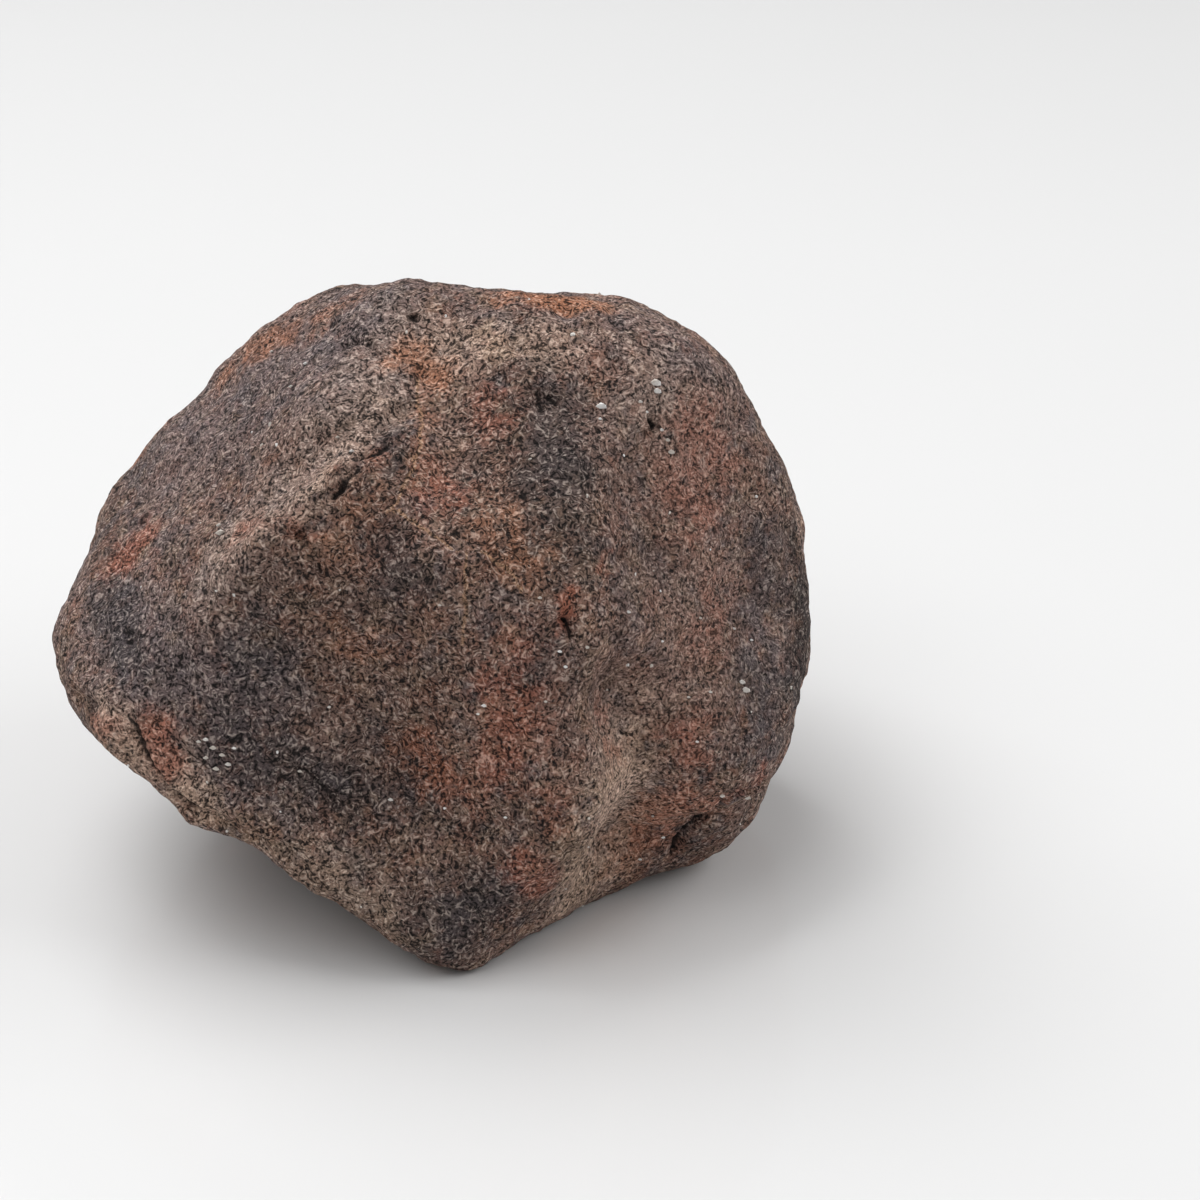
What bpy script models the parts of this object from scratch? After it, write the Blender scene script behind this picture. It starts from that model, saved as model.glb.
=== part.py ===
# Chondrite meteorite: one natural stone, about 28 mm long, with a dull crust.
# Metres, +Z up. The stone rests on a small flat spot, and the origin is at the middle of the
# bottom of its bounding box. The camera of the reference view looks along +Y, slightly down.
#
# The stone is a rounded many-sided lump. FACES names the broad faces that it broke into, SWELLS the
# ridges and hollows on them, STEPS the ledges where one sheet of rock ends over the next, and seeded
# waves and dimples make the rest uneven. All of them are placed by direction from the middle of the
# stone: azimuth in degrees from +X towards +Y, and elevation in degrees above the horizontal.

import bmesh
import bpy
import numpy as np
from mathutils import Matrix

MM = 0.001

# Driving dimensions, in millimetres
CENTRE_HEIGHT = 9.5       # height of the middle of the stone above the ground
EDGE_SHARPNESS = 22.0     # power of the blend between faces: higher leaves crisper edges
GRID_STEPS = 20           # steps along each edge of the starting icosahedron

# name: azimuth, elevation, distance from the middle in mm
FACES = {
    "right_end": (-5, -14, 13.8),
    "right_upper": (12, 26, 13.5),
    "right_middle": (6, 8, 13.8),
    "right_front": (-50, 20, 11.8),
    "right_under": (-50, -31, 13.0),
    "right_low": (-17, -29, 15.9),
    "shoulder": (34, 55, 12.9),
    "top": (82, 66, 11.5),
    "top_front": (-85, 52, 11.1),
    "crest": (116, 62, 12.2),
    "front": (-98, 8, 10.6),
    "left_front": (-134, 28, 12.0),
    "upper_left": (205, 46, 10.5),
    "upper_left_back": (150, 42, 11.2),
    "left_upper": (180, 28, 12.1),
    "left_end": (182, -9, 15.4),
    "left_under": (203, -37, 12.2),
    "left_low": (172, -42, 11.6),
    "left_strip": (-133, -46, 11.6),
    "back": (92, 10, 11.6),
    "back_right": (45, -8, 12.8),
    "back_left": (135, -15, 12.0),
    "back_under": (80, -48, 10.7),
    "under_left": (190, -66, 10.5),
    "under_back": (60, -66, 10.5),
    "under": (0, -90, 9.9),
}

# name: start and end direction, half width in degrees, height in mm (hollows are negative)
SWELLS = {
    "front_hollow": ((-106, 12), (-98, -6), 13, -0.9),
    "crest_valley": ((-88, 72), (-80, 48), 7, -0.6),
    "knob": ((-46, 60), (-46, 60), 10, 0.5),
    "middle_ridge": ((-53, 40), (-60, 14), 9, 0.4),
    "flank_valley": ((-55, 2), (-50, -30), 8, -1.5),
    "right_bulge": ((-36, -14), (-30, -22), 9, 0.5),
    "strip_edge_left": ((-140, -4), (-112, -22), 5, 0.4),
    "strip_edge_front": ((-112, -22), (-95, -35), 5, 0.3),
    "top_hollow": ((40, 76), (80, 62), 13, -0.9),
    "foot": ((-88, -40), (-88, -40), 9, 0.9),
    "foot_side": ((-46, -54), (-42, -52), 4, 0.35),
    "right_foot": ((-30, -38), (-20, -36), 6, 0.3),
    "crack_under": ((-30, -45), (-27, -43), 4, -0.5),
    "right_corner": ((-21, -30), (-21, -30), 5, 0.3),
    "left_side": ((-155, -8), (-150, -9), 5, 0.3),
    "left_notch": ((-139, -10), (-134, -13), 4, -0.45),
    "strip_end": ((-129, -18), (-127, -18), 3, 0.25),
    "shoulder_dip": ((62, 42), (62, 38), 4, -0.25),
    "left_rim": ((160, 42), (154, 36), 7, 0.35),
    "back_hollow": ((104, 8), (84, -14), 13, -0.55),
    "back_ridge": ((62, 38), (70, -24), 6, 0.45),
    "right_back_hollow": ((30, 12), (24, -12), 11, -0.5),
    "left_back_hollow": ((156, 14), (162, -14), 11, -0.6),
    "left_back_knob": ((128, 24), (128, 24), 9, 0.4),
    "under_hollow": ((150, -52), (110, -62), 9, -0.5),
}

# name: start and end direction, half width in degrees, height in mm. The ground on the left of the
# way from start to end is raised by the height, and that on the right lowered, unless it is negative.
STEPS = {
    "scarp_upper": ((-99, 58), (-110, 46), 4, 0.35),
    "scarp_lower": ((-110, 46), (-124, 34), 5, 0.3),
    "strip_ledge": ((-138, -6), (-124, -17), 3, -0.3),
    "crack_foot": ((-37, -36), (-40, -22), 3, 0.25),
    "crack": ((-40, -22), (-24, -20), 3, 0.3),
    "back_ledge": ((112, 34), (74, 30), 4, 0.3),
    "back_left_ledge": ((150, -22), (118, -34), 4, -0.3),
}

# Unevenness between the named forms
WAVE_COUNT = 24
WAVE_LENGTHS = (3.5, 9.0)     # mm from crest to crest
WAVE_STEEPNESS = 0.006        # height of a wave over its length
DIMPLE_COUNT = 70
DIMPLE_WIDTHS = (4.5, 9.0)    # half width in degrees
DIMPLE_DEPTHS = (0.08, 0.2)   # mm

CRUST_COLOUR = (0.115, 0.080, 0.060, 1.0)
CRUST_ROUGHNESS = 0.9


def direction(azimuth, elevation):
    """Unit vector towards an azimuth and elevation in degrees."""
    turn = np.radians(azimuth)
    rise = np.radians(elevation)
    return np.array([np.cos(rise) * np.cos(turn), np.cos(rise) * np.sin(turn), np.sin(rise)])


def angle_between(ways, way):
    """Degrees between each of many directions and one."""
    return np.degrees(np.arccos(np.clip(ways @ way, -1.0, 1.0)))


def arc_angles(ways, start, end):
    """Degrees from each direction to the arc from start to end, and signed degrees off its circle."""
    pole = np.cross(start, end)
    length = np.linalg.norm(pole)
    if length < 1e-6:
        nearest = angle_between(ways, start)
        return nearest, nearest
    pole = pole / length
    across = np.clip(ways @ pole, -1.0, 1.0)
    foot = ways - np.outer(across, pole)
    past_start = foot @ np.cross(pole, start) >= 0.0
    before_end = foot @ np.cross(end, pole) >= 0.0
    off = np.degrees(np.arcsin(across))
    to_end = np.minimum(angle_between(ways, start), angle_between(ways, end))
    return np.where(past_start & before_end, np.abs(off), to_end), off


def faces_distance(ways):
    """Distance in mm from the middle to the broad faces, blended where they meet."""
    total = np.zeros(len(ways))
    for azimuth, elevation, distance in FACES.values():
        closeness = np.clip(ways @ direction(azimuth, elevation) / distance, 0.0, None)
        total += closeness ** EDGE_SHARPNESS
    return total ** (-1.0 / EDGE_SHARPNESS)


def swells(ways):
    """Height in mm of the named ridges and hollows."""
    height = np.zeros(len(ways))
    for start, end, half_width, rise in SWELLS.values():
        angle, _ = arc_angles(ways, direction(*start), direction(*end))
        height += rise * np.exp(-(angle / half_width) ** 2)
    return height


def steps(ways):
    """Height in mm of the named ledges: up on one side of each line, down on the other."""
    height = np.zeros(len(ways))
    for start, end, half_width, rise in STEPS.values():
        angle, off = arc_angles(ways, direction(*start), direction(*end))
        height += rise * off / half_width * np.exp(0.5 - 0.5 * (angle / half_width) ** 2)
    return height


def waves(points):
    """Height in mm of seeded waves that run through the stone in all directions."""
    random = np.random.default_rng(7)
    height = np.zeros(len(points))
    for _ in range(WAVE_COUNT):
        length = random.uniform(*WAVE_LENGTHS)
        way = random.normal(size=3)
        way *= 2.0 * np.pi / (length * np.linalg.norm(way))
        phase = random.uniform(0.0, 2.0 * np.pi)
        height += WAVE_STEEPNESS * length * np.sin(points @ way + phase)
    return height


def dimples(ways):
    """Depth in mm, as negative heights, of seeded shallow dimples all over the stone."""
    random = np.random.default_rng(11)
    height = np.zeros(len(ways))
    for _ in range(DIMPLE_COUNT):
        way = random.normal(size=3)
        way /= np.linalg.norm(way)
        half_width = random.uniform(*DIMPLE_WIDTHS)
        depth = random.uniform(*DIMPLE_DEPTHS)
        height -= depth * np.exp(-(angle_between(ways, way) / half_width) ** 2)
    return height


def stone_points(ways):
    """Points of the stone's surface in mm, one for each direction from its middle."""
    distance = faces_distance(ways) + swells(ways) + steps(ways) + dimples(ways)
    distance += waves(ways * distance[:, None])
    below = ways[:, 2] < 0.0
    to_ground = CENTRE_HEIGHT / -ways[below, 2]
    distance[below] = np.minimum(distance[below], to_ground)
    return ways * distance[:, None] + np.array([0.0, 0.0, CENTRE_HEIGHT])


def clear_scene():
    for thing in list(bpy.data.objects):
        bpy.data.objects.remove(thing, do_unlink=True)


def crust_material():
    material = bpy.data.materials.new("stone_crust")
    material.use_nodes = True
    shader = material.node_tree.nodes["Principled BSDF"]
    shader.inputs["Base Color"].default_value = CRUST_COLOUR
    shader.inputs["Roughness"].default_value = CRUST_ROUGHNESS
    shader.inputs["Metallic"].default_value = 0.0
    return material


def even_sphere():
    """A unit icosahedron with each face split into a grid of even triangles."""
    sphere = bmesh.new()
    bmesh.ops.create_icosphere(sphere, subdivisions=1, radius=1.0)
    bmesh.ops.subdivide_edges(sphere, edges=sphere.edges[:], cuts=GRID_STEPS - 1, use_grid_fill=True)
    bmesh.ops.triangulate(sphere, faces=sphere.faces[:])
    return sphere


def make_stone():
    sphere = even_sphere()
    ways = np.array([vertex.co[:] for vertex in sphere.verts])
    ways /= np.linalg.norm(ways, axis=1)[:, None]
    points = stone_points(ways) * MM
    for vertex, point in zip(sphere.verts, points):
        vertex.co = point
    low = points.min(axis=0)
    high = points.max(axis=0)
    middle = (low + high) / 2.0
    to_origin = Matrix.Translation((-middle[0], -middle[1], -low[2]))
    bmesh.ops.transform(sphere, matrix=to_origin, verts=sphere.verts[:])
    bmesh.ops.recalc_face_normals(sphere, faces=sphere.faces[:])

    mesh = bpy.data.meshes.new("stone")
    sphere.to_mesh(mesh)
    sphere.free()
    mesh.shade_smooth()
    mesh.materials.append(crust_material())
    stone = bpy.data.objects.new("stone", mesh)
    bpy.context.scene.collection.objects.link(stone)
    return stone


clear_scene()
make_stone()
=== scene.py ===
import math

import bmesh
import bpy
from mathutils import Matrix, Vector
from mathutils.bvhtree import BVHTree


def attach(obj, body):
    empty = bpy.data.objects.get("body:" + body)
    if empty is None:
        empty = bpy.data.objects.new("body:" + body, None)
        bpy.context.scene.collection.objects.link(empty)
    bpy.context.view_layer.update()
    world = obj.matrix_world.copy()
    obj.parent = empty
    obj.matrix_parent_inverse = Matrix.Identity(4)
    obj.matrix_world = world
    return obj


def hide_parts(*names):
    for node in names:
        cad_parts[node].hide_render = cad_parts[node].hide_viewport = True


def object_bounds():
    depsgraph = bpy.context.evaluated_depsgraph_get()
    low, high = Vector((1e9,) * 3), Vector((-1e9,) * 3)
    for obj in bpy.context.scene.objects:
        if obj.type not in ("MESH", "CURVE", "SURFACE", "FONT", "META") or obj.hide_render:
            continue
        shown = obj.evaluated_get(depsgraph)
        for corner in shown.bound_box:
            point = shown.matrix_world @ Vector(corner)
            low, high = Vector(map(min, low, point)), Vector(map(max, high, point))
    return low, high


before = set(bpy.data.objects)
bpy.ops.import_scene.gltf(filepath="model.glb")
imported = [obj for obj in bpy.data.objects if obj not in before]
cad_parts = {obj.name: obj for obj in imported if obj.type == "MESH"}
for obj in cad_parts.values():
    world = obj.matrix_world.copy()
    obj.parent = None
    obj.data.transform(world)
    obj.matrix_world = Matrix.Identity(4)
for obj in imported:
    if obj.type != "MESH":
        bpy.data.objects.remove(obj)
CAD_LOW, CAD_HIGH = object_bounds()

MM = 0.001
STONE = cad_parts["stone"]
WHITE = (1.0, 1.0, 1.0, 1.0)

# The middle of the stone, from which directions on it are measured, in millimetres
STONE_MIDDLE = (0.0, -0.2, 9.5)

# Camera, as the reference view was taken, in millimetres and degrees
PHOTO_PIXELS = 1200       # width and height of the photograph
CAMERA_PLACE = (6.09, -100.2, 58.5)
CAMERA_PITCH = 26.3       # downwards
SENSOR_WIDTH = 36.0
LENS = 90.0
NEAREST_SEEN = 1.0
FARTHEST_SEEN = 10000.0

# Floor, in millimetres
FLOOR_HALF = 1500.0
FLOOR_HEIGHT = -0.01      # just below the stone's flat spot
FLOOR_COLOUR = (0.8, 0.8, 0.8, 1.0)
FLOOR_ROUGHNESS = 0.12
FLOOR_SPECULAR = 0.45

# Light: a white tent, and square softboxes at one distance from the stone's middle, in millimetres
TENT_STRENGTH = 0.3
LIGHT_DISTANCE = 300.0
LIGHT_SIZE = 220.0

# Softboxes: azimuth and elevation in degrees, power in watts
LIGHTS = {
    "back_left": (135, 62, 0.535),
    "back_left_low": (135, 35, 0.103),
    "front_left": (225, 62, 0.297),
    "back_right_low": (45, 12, 0.15),
    "right": (0, 35, 0.30),
}


class Nodes:
    """Adds nodes to a tree in few words. An input may be given as a socket or as a plain value."""

    def __init__(self, tree):
        self.tree = tree

    def fill(self, socket, value):
        if isinstance(value, bpy.types.NodeSocket):
            self.tree.links.new(value, socket)
        else:
            socket.default_value = value

    def add(self, kind, *values, **settings):
        """A node of that kind with its settings, and its inputs filled in order."""
        node = self.tree.nodes.new(kind)
        for name, value in settings.items():
            setattr(node, name, value)
        shown = [socket for socket in node.inputs if socket.enabled]
        for socket, value in zip(shown, values):
            self.fill(socket, value)
        return node

    def named(self, kind, inputs, **settings):
        """A node of that kind with its settings, and its inputs filled by name."""
        node = self.add(kind, **settings)
        for name, value in inputs.items():
            self.fill(node.inputs[name], value)
        return node

    def math(self, operation, *values):
        return self.add("ShaderNodeMath", *values, operation=operation).outputs[0]

    def vector(self, operation, *values):
        if operation == "SCALE":
            inputs = dict(zip(("Vector", "Scale"), values))
            return self.named("ShaderNodeVectorMath", inputs, operation=operation).outputs["Vector"]
        node = self.add("ShaderNodeVectorMath", *values, operation=operation)
        scalar = operation in ("LENGTH", "DISTANCE", "DOT_PRODUCT")
        return node.outputs["Value" if scalar else "Vector"]

    def step(self, value, low, high, to_low=0.0, to_high=1.0):
        """A smooth step from to_low at low to to_high at high."""
        inputs = {"Value": value, "From Min": low, "From Max": high, "To Min": to_low, "To Max": to_high}
        return self.named("ShaderNodeMapRange", inputs, interpolation_type="SMOOTHSTEP").outputs["Result"]

    def scale(self, size):
        """The scale at which a texture's features are about size across, in its vector's own unit."""
        return self.math("DIVIDE", 1.0, size) if isinstance(size, bpy.types.NodeSocket) else 1.0 / size

    def noise(self, vector, size, detail=2.0, roughness=0.5, distortion=0.0, output="Fac"):
        inputs = {"Vector": vector, "Scale": self.scale(size), "Detail": detail, "Roughness": roughness,
                  "Distortion": distortion}
        return self.named("ShaderNodeTexNoise", inputs).outputs[output]

    def shaken(self, place, size, reach, detail=1.0, roughness=0.5):
        """The place moved about, by up to half the reach or so, by noise of that size."""
        noise = self.noise(place, size, detail, roughness, output="Color")
        aside = self.vector("SUBTRACT", noise, (0.5, 0.5, 0.5))
        return self.vector("ADD", place, self.vector("SCALE", aside, reach))

    def cells(self, vector, size):
        """Voronoi cells: how far from a cell's middle, in cells, and a random number for each cell."""
        node = self.named("ShaderNodeTexVoronoi", {"Vector": vector, "Scale": self.scale(size)})
        chance = self.vector("DOT_PRODUCT", node.outputs["Color"], (1.0, 0.0, 0.0))
        return node.outputs["Distance"], chance

    def mix(self, factor, first, second, blend="MIX"):
        """Two colours mixed. The node's colour inputs are its seventh and eighth."""
        node = self.add("ShaderNodeMix", factor, data_type="RGBA", blend_type=blend)
        self.fill(node.inputs[6], first)
        self.fill(node.inputs[7], second)
        return node.outputs[2]

    def place(self):
        """The shaded point in mm, in the object's own coordinates."""
        return self.vector("SCALE", self.add("ShaderNodeTexCoord").outputs["Object"], 1.0 / MM)

    def stored(self, name, output="Fac"):
        """An attribute of the mesh, in a material."""
        return self.add("ShaderNodeAttribute", attribute_name=name).outputs[output]


def new_group(name, kind, inputs, outputs):
    """A node group with named sockets: (name, type, default). Returns its Nodes, and what it is given
    and gives, by name."""
    tree = bpy.data.node_groups.new(name, kind)
    for socket_name, value_type, default in inputs:
        socket = tree.interface.new_socket(
            socket_name, in_out="INPUT", socket_type="NodeSocket" + value_type)
        if default is not None:
            socket.default_value = default
    for socket_name, value_type in outputs:
        tree.interface.new_socket(socket_name, in_out="OUTPUT", socket_type="NodeSocket" + value_type)
    nodes = Nodes(tree)
    return nodes, nodes.add("NodeGroupInput").outputs, nodes.add("NodeGroupOutput").inputs


def new_material(name):
    """A material, its Nodes and its Principled shader."""
    material = bpy.data.materials.new(name)
    material.use_nodes = True
    return material, Nodes(material.node_tree), material.node_tree.nodes["Principled BSDF"]


def set_values(shader, **values):
    """Plain numbers or colours set on a shader's own sockets, with _ for the spaces in their names."""
    for name, value in values.items():
        shader.inputs[name.replace("_", " ")].default_value = value


def new_object(name, data):
    thing = bpy.data.objects.new(name, data)
    bpy.context.scene.collection.objects.link(thing)
    return thing


def unit_way(azimuth, elevation):
    """The unit way towards an azimuth, from +X to +Y, and an elevation in degrees."""
    turn = math.radians(azimuth)
    rise = math.radians(elevation)
    return math.cos(rise) * math.cos(turn), math.cos(rise) * math.sin(turn), math.sin(rise)


# Camera, floor and light


def camera_turn():
    return math.radians(90.0 - CAMERA_PITCH)


def make_camera():
    data = bpy.data.cameras.new("camera")
    data.lens = LENS
    data.sensor_width = SENSOR_WIDTH
    data.clip_start = NEAREST_SEEN * MM
    data.clip_end = FARTHEST_SEEN * MM
    camera = new_object("camera", data)
    camera.location = Vector(CAMERA_PLACE) * MM
    camera.rotation_euler = (camera_turn(), 0.0, 0.0)
    bpy.context.scene.camera = camera


def make_softbox(name, azimuth, elevation, power):
    """A large soft light at a direction from the stone's middle, which faces the stone."""
    data = bpy.data.lights.new(name, "AREA")
    data.shape = "RECTANGLE"
    data.size = LIGHT_SIZE * MM
    data.size_y = LIGHT_SIZE * MM
    data.energy = power
    place = Vector([part * LIGHT_DISTANCE for part in unit_way(azimuth, elevation)])
    light = new_object(name, data)
    light.location = place * MM
    light.rotation_euler = (Vector(STONE_MIDDLE) - place).to_track_quat("-Z", "Y").to_euler()
    light.visible_camera = False


def make_tent():
    """Even white light from all around, as inside a white tent."""
    world = bpy.data.worlds.new("tent")
    world.use_nodes = True
    set_values(world.node_tree.nodes["Background"], Color=WHITE, Strength=TENT_STRENGTH)
    bpy.context.scene.world = world


def make_floor():
    """A plain pale sheet under the stone, a little glossy."""
    half = FLOOR_HALF * MM
    low = FLOOR_HEIGHT * MM
    mesh = bpy.data.meshes.new("floor")
    corners = [(-half, -half, low), (half, -half, low), (half, half, low), (-half, half, low)]
    mesh.from_pydata(corners, [], [(0, 1, 2, 3)])
    material, _, shader = new_material("pale_floor")
    set_values(shader, Base_Color=FLOOR_COLOUR, Roughness=FLOOR_ROUGHNESS,
               Specular_IOR_Level=FLOOR_SPECULAR)
    mesh.materials.append(material)
    new_object("floor", mesh)


# The stone's solid, used to place things on it


def solid_tree():
    points = [vertex.co / MM for vertex in STONE.data.vertices]
    return BVHTree.FromPolygons(points, [tuple(face.vertices) for face in STONE.data.polygons])


SOLID = solid_tree()


def seen(pixel):
    """The place on the stone, in mm, that the camera sees at a pixel of the photograph."""
    start = Vector(CAMERA_PLACE)
    tilt = Matrix.Rotation(camera_turn(), 3, "X")
    scale = SENSOR_WIDTH / LENS / PHOTO_PIXELS
    middle = PHOTO_PIXELS / 2.0
    way = tilt @ Vector(((pixel[0] - middle) * scale, (middle - pixel[1]) * scale, -1.0))
    hit = SOLID.ray_cast(start, way.normalized())[0]
    if hit is None:
        distance = (Vector(STONE_MIDDLE) - start).length
        hit = SOLID.find_nearest(start + way.normalized() * distance)[0]
    return hit


def towards(azimuth, elevation):
    """The place on the stone, in mm, in a direction from its middle."""
    return SOLID.ray_cast(Vector(STONE_MIDDLE), Vector(unit_way(azimuth, elevation)))[0]


# Lines along which the rock breaks in a small ledge: pixels of the photograph, the way downhill, and the
# drop, half width and reach of the ledge in mm
LEDGES = {
    "Scarp": ([(398, 404), (378, 418), (362, 446), (336, 488), (303, 524), (262, 560), (240, 590)],
              (0.62, -0.62, -0.48), 0.32, 0.18, 1.8),
    "Strip": ([(72, 690), (105, 700), (133, 726), (144, 757), (161, 781), (190, 806), (230, 822),
               (300, 852)],
              (-0.45, -0.20, -0.87), 0.35, 0.18, 1.2),
}

# Cracks and small holes seen from the front: pixels of the photograph, half width in mm, and depth from
# 0 to 1
SEEN_CREVICES = [
    ([(675, 852), (681, 838), (692, 824), (704, 815), (725, 803), (745, 794), (764, 785)],
     0.15, 1.0),
    ([(732, 801), (742, 797), (752, 792)], 0.22, 1.0),
    ([(390, 440), (378, 449), (366, 451), (352, 456)], 0.09, 0.7),
    ([(356, 466), (346, 474), (341, 486), (333, 498)], 0.10, 0.8),
    ([(262, 526), (284, 532), (302, 537)], 0.07, 0.5),
    ([(130, 720), (141, 752), (158, 782), (192, 808)], 0.16, 0.9),
    ([(300, 768), (322, 785), (340, 808)], 0.10, 0.5),
    ([(538, 390), (541, 407)], 0.14, 0.7),
    ([(550, 396), (556, 401)], 0.10, 0.7),
    ([(410, 314), (416, 318)], 0.14, 0.8),
    ([(650, 418), (656, 426)], 0.13, 0.9),
    ([(566, 622), (572, 634)], 0.11, 0.8),
    ([(318, 566), (322, 574)], 0.12, 0.7),
    ([(342, 346), (360, 342), (380, 349)], 0.10, 0.5),
]

# Cracks on the sides that the photograph doesn't show: directions from the middle, half width, depth
OTHER_CREVICES = [
    ([(118, 30), (111, 26), (104, 28), (97, 25)], 0.08, 0.7),
    ([(96, 25), (90, 21), (86, 23)], 0.06, 0.55),
    ([(150, 6), (148, -1), (144, -6)], 0.08, 0.65),
    ([(145, -8), (149, -15)], 0.06, 0.5),
    ([(58, -8), (64, -14), (62, -20)], 0.08, 0.7),
    ([(30, 34), (36, 39), (42, 38)], 0.07, 0.6),
    ([(170, -34), (163, -41), (163, -47)], 0.08, 0.65),
    ([(98, -31), (90, -36)], 0.07, 0.6),
    ([(72, 12), (73, 14)], 0.15, 0.75),
    ([(130, -8), (131, -6)], 0.14, 0.75),
    ([(20, -4), (21, -2)], 0.14, 0.75),
]

# Thin rusty veins seen from the front, as pixels of the photograph
VEINS = [
    [(418, 380), (423, 424), (414, 464), (398, 500), (388, 512)],
    [(400, 512), (432, 534), (452, 548)],
    [(482, 552), (512, 572), (522, 592)],
    [(466, 552), (466, 604), (462, 644)],
]

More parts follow.
